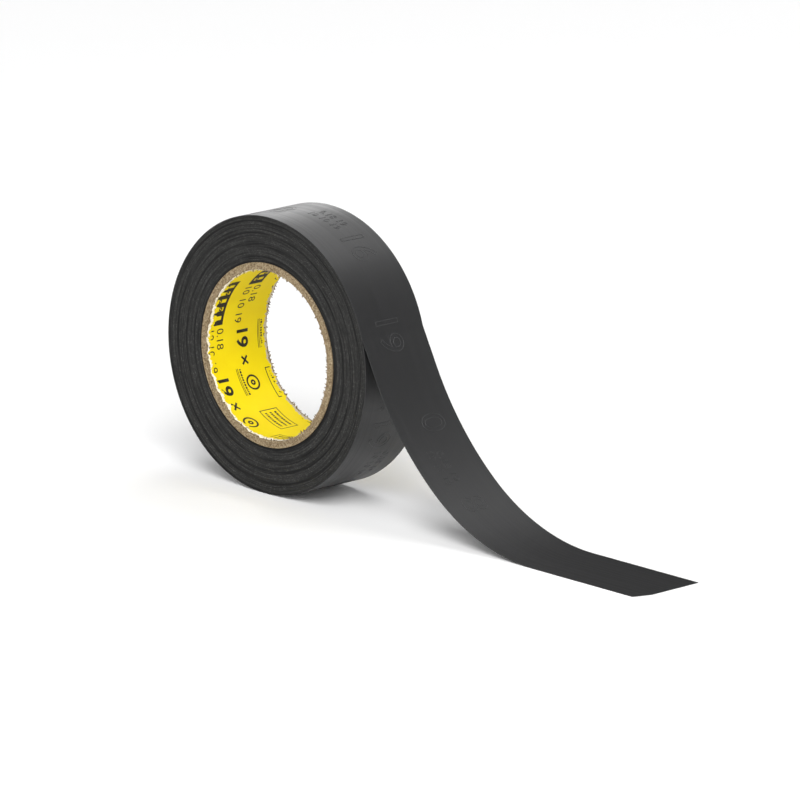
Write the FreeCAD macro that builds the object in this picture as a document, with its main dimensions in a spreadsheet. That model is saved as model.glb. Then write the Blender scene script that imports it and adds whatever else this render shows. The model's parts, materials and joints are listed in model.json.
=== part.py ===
import FreeCAD, Part
import math
import os
import Sketcher

# A roll of electrical tape that stands on its rim, with its free end peeled away and lying on
# the ground beside it. Millimetres, +Z up. The origin is on the core's axis, half way along the
# tape's width. The core's axis is Y, and the free end leads off towards +X.

doc = FreeCAD.newDocument("ElectricalTapeRoll")
sizes = doc.addObject("Spreadsheet::Sheet", "Sizes")

driving_sizes = {
    # the tape: a PVC film with rubber adhesive on its inner face
    "tape_width": 19.0,
    "film_thickness": 0.127,
    "adhesive_thickness": 0.051,
    # the core: a printed paper liner inside three spirally wound board plies
    "bore_radius": 19.25,
    "liner_thickness": 0.15,
    "ply_thickness": 0.55,
    "seam_lead": 94.0,           # a ply's edge climbs this far along the axis in one turn
    "seam_gap": 0.25,            # measured along the axis, where a ply's edges nearly meet
    "seam_spacing": 120.0,       # degrees between the seams of neighbouring plies
    # the roll
    "roll_radius": 31.8,
    "spin_clearance": 0.04,      # between the winding and the lap that peels off it
    "core_step_width": 0.9,      # the first laps on the core sit back from the roll's sides
    "core_step_depth": 0.3,
    "band_width": 0.4,           # shallow rings on the sides, where the laps drifted inwards
    "band_depth": 0.08,
    # the lap that is coming off, and the free end
    "peel_angle": 17.7,          # degrees from +X up to the peel line
    "lap_opening": 1.7,          # from the peel line down to where this lap starts
    "lift_angle": 10.9,          # degrees that the tape leaves the roll's tangent by
    "peel_straight": 9.6,
    "upper_bend_radius": 72.0,
    "middle_slope": 37.8,        # degrees below level where the two bends meet
    "ground_run": 31.5,
    "corner_cut_length": 1.6,    # the corner that the cutter clipped off, along the tape
    "corner_cut_width": 4.4,     # and across it
    "flex_gap": 0.2,             # between stretches of tape that turn on each other
}
band_count = 7                   # on each side of the roll
ply_names = ("core_ply_inner", "core_ply_middle", "core_ply_outer")
liner_seam_angle = -40.0         # degrees about Y, which puts the liner's seam near the ground
cutter_margin = 0.6              # how far a cutting outline stands clear of the piece it cuts

for row, (alias, size) in enumerate(driving_sizes.items(), start=1):
    sizes.set(f"A{row}", alias)
    sizes.set(f"B{row}", str(size))
    sizes.setAlias(f"B{row}", alias)
doc.recompute()

# Sizes that follow from the driving ones, as formulas for setExpression.
half_width = "Sizes.tape_width / 2"
tape_thickness = "(Sizes.film_thickness + Sizes.adhesive_thickness)"
liner_outer = "(Sizes.bore_radius + Sizes.liner_thickness)"
core_outer = f"({liner_outer} + {len(ply_names)} * Sizes.ply_thickness)"
lap_joint = "(Sizes.roll_radius - Sizes.film_thickness)"
lap_inner = f"(Sizes.roll_radius - {tape_thickness})"
winding_outer = f"({lap_inner} - Sizes.spin_clearance)"
half_gap = "Sizes.flex_gap / 2"

peel_slope = "(90 - Sizes.peel_angle - Sizes.lift_angle)"
upper_x = (f"(Sizes.roll_radius * cos(Sizes.peel_angle) + Sizes.peel_straight * cos{peel_slope}"
           f" + Sizes.upper_bend_radius * sin{peel_slope})")
upper_z = (f"(Sizes.roll_radius * sin(Sizes.peel_angle) - Sizes.peel_straight * sin{peel_slope}"
           f" + Sizes.upper_bend_radius * cos{peel_slope})")
tape_top_on_ground = f"({tape_thickness} - Sizes.roll_radius)"
lower_bend_radius = (f"(({upper_z} - {tape_top_on_ground} - Sizes.upper_bend_radius"
                     " * cos(Sizes.middle_slope)) / (1 - cos(Sizes.middle_slope)))")
lower_x = (f"({upper_x} - (Sizes.upper_bend_radius - {lower_bend_radius})"
           " * sin(Sizes.middle_slope))")
lower_z = f"({tape_top_on_ground} + {lower_bend_radius})"


def number(formula):
    """The present value of a formula, which starts a sketch close to its solution."""
    result = sizes.evalExpression(formula)
    return float(getattr(result, "Value", result))


def new_body(name):
    body = doc.addObject("PartDesign::Body", name)
    body.Label = name
    return body


def set_place(body, x="0", z="0", turn="0"):
    """Put a body at x, z and turn its X axis down by some degrees about Y."""
    position = FreeCAD.Vector(number(x), 0, number(z))
    body.Placement = FreeCAD.Placement(position, FreeCAD.Rotation(FreeCAD.Vector(0, 1, 0), 1))
    body.setExpression("Placement.Base.x", x)
    body.setExpression("Placement.Base.z", z)
    body.setExpression("Placement.Rotation.Angle", turn)


def new_sketch(body, name, plane_role):
    plane = next(item for item in body.Origin.OriginFeatures if item.Role == plane_role)
    sketch = body.newObject("Sketcher::SketchObject", name)
    sketch.AttachmentSupport = [(plane, "")]
    sketch.MapMode = "FlatFace"
    return sketch


def constrain(sketch, *terms, formula):
    index = sketch.addConstraint(Sketcher.Constraint(*terms, number(formula)))
    sketch.setExpression(f"Constraints[{index}]", formula)


def join(sketch, *ends):
    sketch.addConstraint(Sketcher.Constraint("Coincident", *ends))


def draw_circle(sketch, radius):
    circle = Part.Circle(FreeCAD.Vector(), FreeCAD.Vector(0, 0, 1), number(radius))
    index = sketch.addGeometry(circle)
    join(sketch, index, 3, -1, 1)
    constrain(sketch, "Radius", index, formula=radius)


def draw_polygon(sketch, corners):
    """A closed outline, whose corners are formulas measured from the sketch's origin."""
    points = [FreeCAD.Vector(number(x), number(y), 0) for x, y in corners]
    for index, (start, end) in enumerate(zip(points, points[1:] + points[:1])):
        sketch.addGeometry(Part.LineSegment(start, end))
    for index, (x, y) in enumerate(corners):
        join(sketch, index, 2, (index + 1) % len(corners), 1)
        constrain(sketch, "DistanceX", -1, 1, index, 1, formula=x)
        constrain(sketch, "DistanceY", -1, 1, index, 1, formula=y)


def draw_rectangle(sketch, left, right, bottom, top):
    draw_polygon(sketch, [(left, bottom), (right, bottom), (right, top), (left, top)])


def draw_bend(sketch, near_radius, far_radius, start, stop):
    """A curved band below the sketch's origin. Its ends are degrees on from straight down."""
    arcs = []
    for radius in (near_radius, far_radius):
        circle = Part.Circle(FreeCAD.Vector(), FreeCAD.Vector(0, 0, 1), number(radius))
        turns = [math.radians(number(angle) - 90) for angle in (start, stop)]
        arc = sketch.addGeometry(Part.ArcOfCircle(circle, *turns))
        join(sketch, arc, 3, -1, 1)
        constrain(sketch, "Radius", arc, formula=radius)
        constrain(sketch, "DistanceX", -1, 1, arc, 1, formula=f"{radius} * sin({start})")
        constrain(sketch, "DistanceX", -1, 1, arc, 2, formula=f"{radius} * sin({stop})")
        arcs.append(sketch.Geometry[arc])
    for end, corners in ((1, [arc.StartPoint for arc in arcs]), (2, [arc.EndPoint for arc in arcs])):
        line = sketch.addGeometry(Part.LineSegment(*corners))
        join(sketch, line, 1, 0, end)
        join(sketch, line, 2, 1, end)


def pad_both_ways(body, name, sketch, length="Sizes.tape_width"):
    pad = body.newObject("PartDesign::Pad", name)
    pad.Profile = sketch
    pad.Midplane = True
    pad.setExpression("Length", length)
    return pad


def must_remove_material(body, cut):
    doc.recompute()
    if cut.Shape.Volume >= cut.BaseFeature.Shape.Volume:
        raise RuntimeError(f"{cut.Name} in {body.Label} cuts nothing")


def cut_spiral_seam(body, inner, outer):
    """Cut the helical gap between the two edges of a spirally wound ply."""
    blade = new_sketch(body, f"{body.Label}_blade", "XY_Plane")
    bottom = f"-({half_width}) - {cutter_margin} - Sizes.seam_gap"
    draw_rectangle(blade, f"{inner} - {cutter_margin}", f"{outer} + {cutter_margin}",
                   bottom, f"{bottom} + Sizes.seam_gap")
    seam = body.newObject("PartDesign::SubtractiveHelix", f"{body.Label}_seam")
    seam.Profile = blade
    seam.ReferenceAxis = (blade, ["V_Axis"])
    seam.Mode = "pitch-height-angle"
    seam.setExpression("Pitch", "Sizes.seam_lead")
    seam.setExpression("Height", f"Sizes.tape_width + 2 * {cutter_margin} + Sizes.seam_gap")
    must_remove_material(body, seam)


def make_core_tube(name, inner, outer, seam_angle):
    """One paper tube of the core, with its own spiral seam."""
    body = new_body(name)
    ring = new_sketch(body, f"{name}_ring", "XZ_Plane")
    draw_circle(ring, outer)
    draw_circle(ring, inner)
    pad_both_ways(body, f"{name}_tube", ring)
    cut_spiral_seam(body, inner, outer)
    set_place(body, turn=seam_angle)
    return body


def winding_side(side):
    """Corners along one side of the winding, from the core out. side is + or -."""
    first = f"({core_outer} + Sizes.core_step_width)"
    step = f"(({winding_outer} - {first}) / {band_count + 1})"
    flush = f"{side}{half_width}"
    stepped = f"{side}({half_width} - Sizes.core_step_depth)"
    sunk = f"{side}({half_width} - Sizes.band_depth)"
    corners = [(core_outer, stepped), (first, stepped), (first, flush)]
    for band in range(1, band_count + 1):
        inner_edge = f"{first} + {band} * {step} - Sizes.band_width / 2"
        outer_edge = f"{first} + {band} * {step} + Sizes.band_width / 2"
        corners += [(inner_edge, flush), (inner_edge, sunk), (outer_edge, sunk), (outer_edge, flush)]
    return corners + [(winding_outer, flush)]


def make_winding():
    """All the laps under the outer one, which stay on the roll as one solid."""
    body = new_body("winding")
    section = new_sketch(body, "winding_section", "XY_Plane")
    draw_polygon(section, winding_side("-") + winding_side("+")[::-1])
    turned = body.newObject("PartDesign::Revolution", "winding_turned")
    turned.Profile = section
    turned.ReferenceAxis = (section, ["V_Axis"])
    turned.Angle = 360
    set_place(body)
    return body


def make_lap_layer(name, inner, outer):
    """A layer of the lap that is coming off, open just below the peel line."""
    body = new_body(name)
    ring = new_sketch(body, f"{name}_ring", "XZ_Plane")
    draw_circle(ring, outer)
    draw_circle(ring, inner)
    pad_both_ways(body, f"{name}_round", ring)
    slot = new_sketch(body, f"{name}_slot", "XZ_Plane")
    draw_rectangle(slot, f"{inner} - {cutter_margin}", f"{outer} + {cutter_margin}",
                   "-Sizes.lap_opening", half_gap)
    opening = body.newObject("PartDesign::Pocket", f"{name}_opening")
    opening.Profile = slot
    opening.Midplane = True
    opening.Type = "ThroughAll"
    must_remove_material(body, opening)
    set_place(body, turn="-Sizes.peel_angle")
    return body


def half_gap_angle(radius):
    return f"({half_gap} / {radius} * 180 / pi)"


def make_upper_layer(name, near, far):
    """A layer of the free end from the peel line, straight and then round the upper bend."""
    body = new_body(name)
    near_radius = f"(Sizes.upper_bend_radius + {near})"
    far_radius = f"(Sizes.upper_bend_radius + {far})"
    bend = new_sketch(body, f"{name}_bend", "XZ_Plane")
    turn = f"({peel_slope} - Sizes.middle_slope - {half_gap_angle('Sizes.upper_bend_radius')})"
    draw_bend(bend, near_radius, far_radius, "0", turn)
    pad_both_ways(body, f"{name}_curved", bend)
    straight = new_sketch(body, f"{name}_straight", "XZ_Plane")
    draw_rectangle(straight, f"{half_gap} - Sizes.peel_straight", "0",
                   f"-{far_radius}", f"-{near_radius}")
    pad_both_ways(body, f"{name}_flat", straight)
    set_place(body, upper_x, upper_z, peel_slope)
    return body


def make_lower_layer(name, near, far):
    """A layer of the free end round the lower bend, down to the ground."""
    body = new_body(name)
    gap_angle = half_gap_angle(lower_bend_radius)
    bend = new_sketch(body, f"{name}_bend", "XZ_Plane")
    draw_bend(bend, f"({lower_bend_radius} + {near})", f"({lower_bend_radius} + {far})",
              gap_angle, f"(Sizes.middle_slope - {gap_angle})")
    pad_both_ways(body, f"{name}_curved", bend)
    set_place(body, lower_x, lower_z, "Sizes.middle_slope")
    return body


def make_end_layer(name, near, far):
    """A layer of the free end that lies flat, with the corner that the cutter clipped."""
    body = new_body(name)
    outline = new_sketch(body, f"{name}_outline", "XY_Plane")
    outline.setExpression("AttachmentOffset.Base.z", f"-{far}")
    clipped_x = "Sizes.ground_run - Sizes.corner_cut_length"
    clipped_y = f"Sizes.corner_cut_width - {half_width}"
    draw_polygon(outline, [(half_gap, f"-{half_width}"), (clipped_x, f"-{half_width}"),
                           ("Sizes.ground_run", clipped_y), ("Sizes.ground_run", half_width),
                           (half_gap, half_width)])
    layer = body.newObject("PartDesign::Pad", f"{name}_layer")
    layer.Profile = outline
    layer.setExpression("Length", f"{far} - {near}")
    set_place(body, lower_x, tape_top_on_ground)
    return body


# The core, from the bore outwards.
sub_parts = [make_core_tube("core_liner", "Sizes.bore_radius", liner_outer, str(liner_seam_angle))]
for layer, ply_name in enumerate(ply_names):
    ply_inner = f"({liner_outer} + {layer} * Sizes.ply_thickness)"
    ply_outer = f"({liner_outer} + {layer + 1} * Sizes.ply_thickness)"
    ply_seam = f"{layer + 1} * Sizes.seam_spacing + {liner_seam_angle}"
    sub_parts.append(make_core_tube(ply_name, ply_inner, ply_outer, ply_seam))

# The tape on the roll, and the layers of the lap and of the free end.
sub_parts.append(make_winding())
sub_parts.append(make_lap_layer("outer_lap_film", lap_joint, "Sizes.roll_radius"))
sub_parts.append(make_lap_layer("outer_lap_adhesive", lap_inner, lap_joint))
tape_layers = {"film": ("0", "Sizes.film_thickness"),
               "adhesive": ("Sizes.film_thickness", tape_thickness)}
for layer, (near, far) in tape_layers.items():
    sub_parts.append(make_upper_layer(f"tail_upper_{layer}", near, far))
    sub_parts.append(make_lower_layer(f"tail_lower_{layer}", near, far))
    sub_parts.append(make_end_layer(f"tail_end_{layer}", near, far))
doc.recompute()

for item in doc.Objects:
    if "Invalid" in item.State or "Error" in item.State:
        raise RuntimeError(f"{item.Name} failed: {item.State}")
for body in sub_parts:
    if body.Shape.isNull() or not body.Shape.isValid() or len(body.Shape.Solids) != 1:
        raise RuntimeError(f"{body.Label} is not one valid solid")

os.makedirs("parts", exist_ok=True)
for body in sub_parts:
    body.Shape.exportStep(f"parts/{body.Label}.step")
    print(f"{body.Label}: {body.Shape.Volume:.2f} mm3")

peel_radius = f"(Sizes.roll_radius - {tape_thickness} / 2)"
print("peel axis x, z:", round(number(f"{peel_radius} * cos(Sizes.peel_angle)"), 4),
      round(number(f"{peel_radius} * sin(Sizes.peel_angle)"), 4))
flex_radius = f"(Sizes.upper_bend_radius + {tape_thickness} / 2)"
print("upper flex axis x, z:",
      round(number(f"{upper_x} - {flex_radius} * sin(Sizes.middle_slope)"), 4),
      round(number(f"{upper_z} - {flex_radius} * cos(Sizes.middle_slope)"), 4))
print("lower flex axis x, z:", round(number(lower_x), 4),
      round(number(f"{tape_top_on_ground} - {tape_thickness} / 2"), 4))
print("lower bend radius:", round(number(lower_bend_radius), 3))
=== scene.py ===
import json
import math
import random

import bmesh
import bpy
import numpy as np
from mathutils import Matrix, Quaternion, Vector, noise


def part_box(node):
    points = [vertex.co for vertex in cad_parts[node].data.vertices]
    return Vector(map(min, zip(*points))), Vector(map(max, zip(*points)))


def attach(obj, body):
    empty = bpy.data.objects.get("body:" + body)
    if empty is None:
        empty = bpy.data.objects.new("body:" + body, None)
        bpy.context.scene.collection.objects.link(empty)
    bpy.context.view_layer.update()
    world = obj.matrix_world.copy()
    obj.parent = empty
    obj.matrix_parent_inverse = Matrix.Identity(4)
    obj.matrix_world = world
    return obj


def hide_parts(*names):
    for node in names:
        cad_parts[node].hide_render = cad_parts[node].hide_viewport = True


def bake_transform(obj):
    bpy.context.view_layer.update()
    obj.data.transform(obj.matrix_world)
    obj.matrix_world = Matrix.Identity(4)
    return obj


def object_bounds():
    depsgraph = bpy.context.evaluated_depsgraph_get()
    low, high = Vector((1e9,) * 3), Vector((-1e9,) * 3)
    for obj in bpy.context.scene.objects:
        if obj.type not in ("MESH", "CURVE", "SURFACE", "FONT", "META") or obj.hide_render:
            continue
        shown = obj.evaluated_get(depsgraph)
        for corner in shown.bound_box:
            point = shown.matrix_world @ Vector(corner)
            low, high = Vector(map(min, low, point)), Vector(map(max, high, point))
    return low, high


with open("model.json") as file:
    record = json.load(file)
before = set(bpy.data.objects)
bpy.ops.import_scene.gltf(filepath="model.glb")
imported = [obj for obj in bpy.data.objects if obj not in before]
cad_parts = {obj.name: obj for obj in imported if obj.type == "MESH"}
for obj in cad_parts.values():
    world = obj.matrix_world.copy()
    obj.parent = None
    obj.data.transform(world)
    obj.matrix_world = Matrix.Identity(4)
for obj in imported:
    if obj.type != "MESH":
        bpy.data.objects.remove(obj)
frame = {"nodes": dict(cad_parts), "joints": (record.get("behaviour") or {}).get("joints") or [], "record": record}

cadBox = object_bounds()
mm = 0.001
print("frame loaded:", len(frame["nodes"]), "nodes")

# what the frame fixes
mounts = {mount["name"]: mount for mount in frame["record"]["mounts"]}
jointPlace = {joint["name"]: Vector(joint["pos_m"]) for joint in frame["joints"]}
boreRadius = mounts["core_bore"]["dims"]["r_mm"] * mm
plyRadii = [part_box(node)[1].x for node in ("core_liner", "core_ply_inner", "core_ply_middle",
                                           "core_ply_outer")]
coreRadius = plyRadii[-1]
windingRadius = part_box("winding")[1].z
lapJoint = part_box("outer_lap_adhesive")[1].z
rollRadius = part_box("outer_lap_film")[1].z
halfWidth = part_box("outer_lap_film")[1].y
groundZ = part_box("tail_end_adhesive")[0].z
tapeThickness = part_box("tail_end_film")[1].z - groundZ
filmThickness = rollRadius - lapJoint
peelAngle = math.atan2(jointPlace["tail_peel"].z, jointPlace["tail_peel"].x)


def leaveEdit():
    bpy.ops.object.mode_set(mode="OBJECT")


def deselectAll():
    if bpy.context.object and bpy.context.object.mode != "OBJECT":
        leaveEdit()
    bpy.ops.object.select_all(action="DESELECT")


def takeUp(*pieces):
    deselectAll()
    for piece in pieces:
        piece.select_set(True)
    bpy.context.view_layer.objects.active = pieces[0]
    return pieces[0]


def justAdded(name):
    piece = bpy.context.object
    piece.name = name
    bpy.ops.object.transform_apply(location=True, rotation=True, scale=True)
    return piece


def selectAll():
    bpy.ops.mesh.select_all(action="SELECT")


def openMesh(piece, mode="VERT"):
    takeUp(piece)
    bpy.ops.object.mode_set(mode="EDIT")
    bpy.ops.mesh.select_mode(type=mode)
    return bmesh.from_edit_mesh(piece.data)


def selectOnly(piece, mesh, items, test):
    bpy.ops.mesh.select_all(action="DESELECT")
    for item in items:
        if test(item):
            item.select_set(True)
    mesh.select_flush_mode()
    bmesh.update_edit_mesh(piece.data)


# welds what coincides, turns the faces outwards and leaves edit mode
def closeMesh(piece, mergeDistance=1e-7):
    selectAll()
    bpy.ops.mesh.remove_doubles(threshold=mergeDistance)
    selectAll()
    bpy.ops.mesh.normals_make_consistent(inside=False)
    leaveEdit()
    return piece


def readPoints(piece):
    flat = np.empty(len(piece.data.vertices) * 3, dtype=np.float32)
    piece.data.vertices.foreach_get("co", flat)
    return flat.reshape(-1, 3).astype(float)


def writePoints(piece, places):
    piece.data.vertices.foreach_set("co", np.ascontiguousarray(places, dtype=np.float32).ravel())
    piece.data.update()


def joinAs(name, pieces):
    takeUp(*pieces)
    if len(pieces) > 1:
        bpy.ops.object.join()
    bpy.context.object.name = name
    return bpy.context.object


def copyOf(piece):
    copy = piece.copy()
    copy.data = piece.data.copy()
    bpy.context.collection.objects.link(copy)
    return copy


def smooth(piece, degrees=35):
    takeUp(piece)
    bpy.ops.object.shade_smooth_by_angle(angle=math.radians(degrees))


def ease(share):
    share = np.clip(share, 0, 1)
    return share * share * (3 - 2 * share)


# smooth noise between about -1 and 1, one number for each value; each seed walks its own line
def wander(values, seed):
    values = np.asarray(values, dtype=float)
    seeds = np.broadcast_to(np.asarray(seed, dtype=float), values.shape)
    found = [noise.noise((value, turn * 7.31, turn * 3.17))
             for value, turn in zip(values.ravel().tolist(), seeds.ravel().tolist())]
    return np.array(found).reshape(values.shape) * 1.6


# angle from +X towards +Z, from 0 to a full turn
def around(places):
    return np.mod(np.arctan2(places[:, 2], places[:, 0]), 2 * math.pi)


# a hex sRGB colour as linear RGBA
def colour(code):
    parts = [int(code[place:place + 2], 16) / 255 for place in (1, 3, 5)]
    return [part / 12.92 if part <= 0.04045 else ((part + 0.055) / 1.055) ** 2.4
            for part in parts] + [1]


def addNode(tree, kind, inputs=None, **settings):
    node = tree.nodes.new("ShaderNode" + kind)
    for name, value in settings.items():
        setattr(node, name, value)
    for socket, value in (inputs or {}).items():
        if isinstance(value, bpy.types.NodeSocket):
            tree.links.new(value, node.inputs[socket])
        else:
            node.inputs[socket].default_value = value
    return node


# a new material, its tree, its shader and its object coordinates
def startMaterial(name, **surface):
    material = bpy.data.materials.new(name)
    material.use_nodes = True
    tree = material.node_tree
    shader = tree.nodes["Principled BSDF"]
    for socket, value in surface.items():
        shader.inputs[socket.replace("_", " ")].default_value = value
    return material, tree, shader, addNode(tree, "TexCoord").outputs["Object"]


# joins the finished colour, bump and gloss to the shader
def finishMaterial(material, tree, shader, **outputs):
    for socket, output in outputs.items():
        tree.links.new(output, shader.inputs[socket.replace("_", " ")])
    return material


def grain(size):
    return 1 / size  # noise scale for a pattern of this size


# Calendered PVC film: rolled hot into a satin skin, which gives a soft broad sheen, a fine
# leathery grain and faint lines along its length.
vinylLook = {"base": "#171718", "lines": "#1d1d1e", "grainSize": 0.28 * mm, "grainDepth": 0.006 * mm,
             "rippleSize": 7 * mm, "rippleDepth": 0.03 * mm, "lineSize": 0.5 * mm,
             "lineStretch": 12, "roughness": (0.40, 0.50)}


def calenderedVinyl():
    look = vinylLook
    material, tree, shader, place = startMaterial("calenderedVinylFilm", IOR=1.53)
    fine = addNode(tree, "TexNoise", {"Vector": place, "Scale": grain(look["grainSize"]), "Detail": 2})
    ripple = addNode(tree, "TexNoise", {"Vector": place, "Scale": grain(look["rippleSize"]), "Detail": 1})
    along = look["lineStretch"]
    across = addNode(tree, "Mapping", {"Vector": place, "Scale": (along, grain(look["lineSize"]), along)})
    lines = addNode(tree, "TexNoise", {"Vector": across.outputs[0], "Scale": 1, "Detail": 3})
    tint = addNode(tree, "Mix", {0: lines.outputs[0], 6: colour(look["base"]), 7: colour(look["lines"])},
                   data_type="RGBA")
    gloss = addNode(tree, "MapRange", {"Value": lines.outputs[0], "From Min": 0.3, "From Max": 0.7,
                                       "To Min": look["roughness"][0], "To Max": look["roughness"][1]})
    broad = addNode(tree, "Bump", {"Height": ripple.outputs[0], "Distance": look["rippleDepth"]})
    bump = addNode(tree, "Bump", {"Height": fine.outputs[0], "Distance": look["grainDepth"],
                                  "Normal": broad.outputs[0]})
    return finishMaterial(material, tree, shader, Base_Color=tint.outputs[2], Roughness=gloss.outputs[0],
                          Normal=bump.outputs[0])


# Rubber adhesive: coated from solvent and tacky, so it is darker and wetter than the film,
# with a fine orange peel where it let go of the lap below.
adhesiveLook = {"base": "#141415", "peelSize": 0.5 * mm, "peelDepth": 0.012 * mm, "roughness": 0.3}


def rubberAdhesive():
    look = adhesiveLook
    material, tree, shader, place = startMaterial("solventRubberAdhesive", IOR=1.5,
                                                  Roughness=look["roughness"],
                                                  Base_Color=colour(look["base"]))
    peel = addNode(tree, "TexNoise", {"Vector": place, "Scale": grain(look["peelSize"]), "Detail": 3})
    bump = addNode(tree, "Bump", {"Height": peel.outputs[0], "Distance": look["peelDepth"]})
    return finishMaterial(material, tree, shader, Normal=bump.outputs[0])


# Slit tape edges: knife-cut film and rubber side by side, matt, with paper dust and lint that the adhesive holds.
# Their colour carries painted shade: recessed laps and band dips are darker, proud laps are painted lighter, and
# the dust shows only on the lighter laps.
edgeLook = {"darkLapAndShade": "#0c0c0c", "proud": "#272726", "dust": "#7f7e7b", "speckSize": 0.17 * mm,
            "smearSize": 0.8 * mm, "streakDepth": 0.3 * mm, "streakLength": 7 * mm,
            "dustDepth": 0.02 * mm, "meanRadius": 26 * mm, "streakTone": 0.4, "dustAmount": (0.12, 0.85)}


def slitTapeEdges():
    look = edgeLook
    material, tree, shader, place = startMaterial("slitTapeEdges", Roughness=0.75, IOR=1.5,
                                                  Specular_IOR_Level=0.22)
    # reads each lap's painted shade and random tone, set on the winding
    height = addNode(tree, "Attribute", attribute_name="lapShadeAndTone")
    parts = addNode(tree, "SeparateXYZ", {"Vector": place})
    flat = addNode(tree, "CombineXYZ", {"X": parts.outputs["X"], "Z": parts.outputs["Z"]})
    radius = addNode(tree, "VectorMath", {0: flat.outputs[0]}, operation="LENGTH")
    turn = addNode(tree, "Math", {0: parts.outputs["Z"], 1: parts.outputs["X"]}, operation="ARCTAN2")
    laps = addNode(tree, "Math", {0: radius.outputs["Value"], 1: grain(look["streakDepth"])},
                   operation="MULTIPLY")
    length = addNode(tree, "Math", {0: turn.outputs[0], 1: look["meanRadius"]
                                    * grain(look["streakLength"])}, operation="MULTIPLY")
    wound = addNode(tree, "CombineXYZ", {"X": laps.outputs[0], "Y": length.outputs[0]})
    streaks = addNode(tree, "TexNoise", {"Vector": wound.outputs[0], "Scale": 1, "Detail": 2})
    specks = addNode(tree, "TexNoise", {"Vector": place, "Scale": grain(look["speckSize"]),
                                        "Detail": 3, "Roughness": 0.6})
    smears = addNode(tree, "TexNoise", {"Vector": place, "Scale": grain(look["smearSize"]), "Detail": 2})
    streaky = addNode(tree, "MapRange", {"Value": streaks.outputs[0], "From Min": 0.3, "From Max": 0.7,
                                         "To Min": -look["streakTone"], "To Max": look["streakTone"]})
    # painted shade and light of the laps plus random streaks: near 0 the dark colour, painted shade in recesses
    # and band dips; near 1 the lighter colour, painted light on proud laps
    lapShadeAndStreaks = addNode(tree, "Math", {0: height.outputs["Fac"], 1: streaky.outputs[0]}, operation="ADD",
                    use_clamp=True)
    lap = addNode(tree, "Mix", {0: lapShadeAndStreaks.outputs[0], 6: colour(look["darkLapAndShade"]),
                                7: colour(look["proud"])}, data_type="RGBA")
    some = addNode(tree, "MapRange", {"Value": smears.outputs[0], "From Min": 0.35, "From Max": 0.75,
                                      "To Min": look["dustAmount"][0], "To Max": look["dustAmount"][1]})
    speck = addNode(tree, "MapRange", {"Value": specks.outputs[0], "From Min": 0.5, "From Max": 0.82})
    dusty = addNode(tree, "Math", {0: some.outputs[0], 1: speck.outputs[0]}, operation="MULTIPLY")
    # the dust is scaled by the same painted shade, so it fades out in the darkened recesses
    proud = addNode(tree, "Math", {0: dusty.outputs[0], 1: lapShadeAndStreaks.outputs[0]}, operation="MULTIPLY")
    tint = addNode(tree, "Mix", {0: proud.outputs[0], 6: lap.outputs[2], 7: colour(look["dust"])},
                   data_type="RGBA")
    bump = addNode(tree, "Bump", {"Height": specks.outputs[0], "Distance": look["dustDepth"]})
    return finishMaterial(material, tree, shader, Base_Color=tint.outputs[2], Normal=bump.outputs[0])


# Grey-brown paperboard from recycled stock: a sawn edge, so open fibres show as light and dark
# flecks on a dull brown.
boardLook = {"base": "#7d6b51", "pale": "#c2b699", "dark": "#483928", "fleckSize": 0.3 * mm,
             "patchSize": 1.8 * mm, "fibreDepth": 0.05 * mm}


def sawnPaperboard():
    look = boardLook
    material, tree, shader, place = startMaterial("sawnPaperboard", Roughness=0.92, Specular_IOR_Level=0.2)
    flecks = addNode(tree, "TexNoise", {"Vector": place, "Scale": grain(look["fleckSize"]),
                                        "Detail": 4, "Roughness": 0.65})
    patches = addNode(tree, "TexNoise", {"Vector": place, "Scale": grain(look["patchSize"]), "Detail": 2})
    light = addNode(tree, "MapRange", {"Value": flecks.outputs[0], "From Min": 0.45, "From Max": 0.72})
    shade = addNode(tree, "MapRange", {"Value": flecks.outputs[0], "From Min": 0.5, "From Max": 0.3})
    worn = addNode(tree, "Math", {0: light.outputs[0], 1: patches.outputs[0]}, operation="MULTIPLY")
    brown = addNode(tree, "Mix", {0: worn.outputs[0], 6: colour(look["base"]), 7: colour(look["pale"])},
                    data_type="RGBA")
    tint = addNode(tree, "Mix", {0: shade.outputs[0], 6: brown.outputs[2], 7: colour(look["dark"])},
                   data_type="RGBA")
    bump = addNode(tree, "Bump", {"Height": flecks.outputs[0], "Distance": look["fibreDepth"]})
    return finishMaterial(material, tree, shader, Base_Color=tint.outputs[2], Normal=bump.outputs[0])


# Coated label paper, printed solid yellow: an even strong colour with a little cloudiness and
# the low gloss of ink.
paperLook = {"base": "#e6d400", "cloud": "#dcc200", "cloudSize": 5 * mm, "toothSize": 0.25 * mm,
             "toothDepth": 0.008 * mm}


def printedYellowPaper():
    look = paperLook
    material, tree, shader, place = startMaterial("printedYellowPaper", Roughness=0.6,
                                                  Specular_IOR_Level=0.2)
    clouds = addNode(tree, "TexNoise", {"Vector": place, "Scale": grain(look["cloudSize"]), "Detail": 3})
    tooth = addNode(tree, "TexNoise", {"Vector": place, "Scale": grain(look["toothSize"]), "Detail": 2})
    tint = addNode(tree, "Mix", {0: clouds.outputs[0], 6: colour(look["base"]), 7: colour(look["cloud"])},
                   data_type="RGBA")
    bump = addNode(tree, "Bump", {"Height": tooth.outputs[0], "Distance": look["toothDepth"]})
    return finishMaterial(material, tree, shader, Base_Color=tint.outputs[2], Normal=bump.outputs[0])


# Bleached paper fibre, torn: matt and warm white. Where the tear went deeper, at one side and
# along the far edge, brown board shows through it.
fibreLook = {"base": "#f3eee2", "stain": "#cdbb9d", "board": "#86745a", "fleckSize": 0.5 * mm,
             "fibreDepth": 0.05 * mm, "sideTear": (3 * mm, 12 * mm, 0.85),
             "farTear": (3 * mm, 6 * mm, 0.55)}


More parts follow.
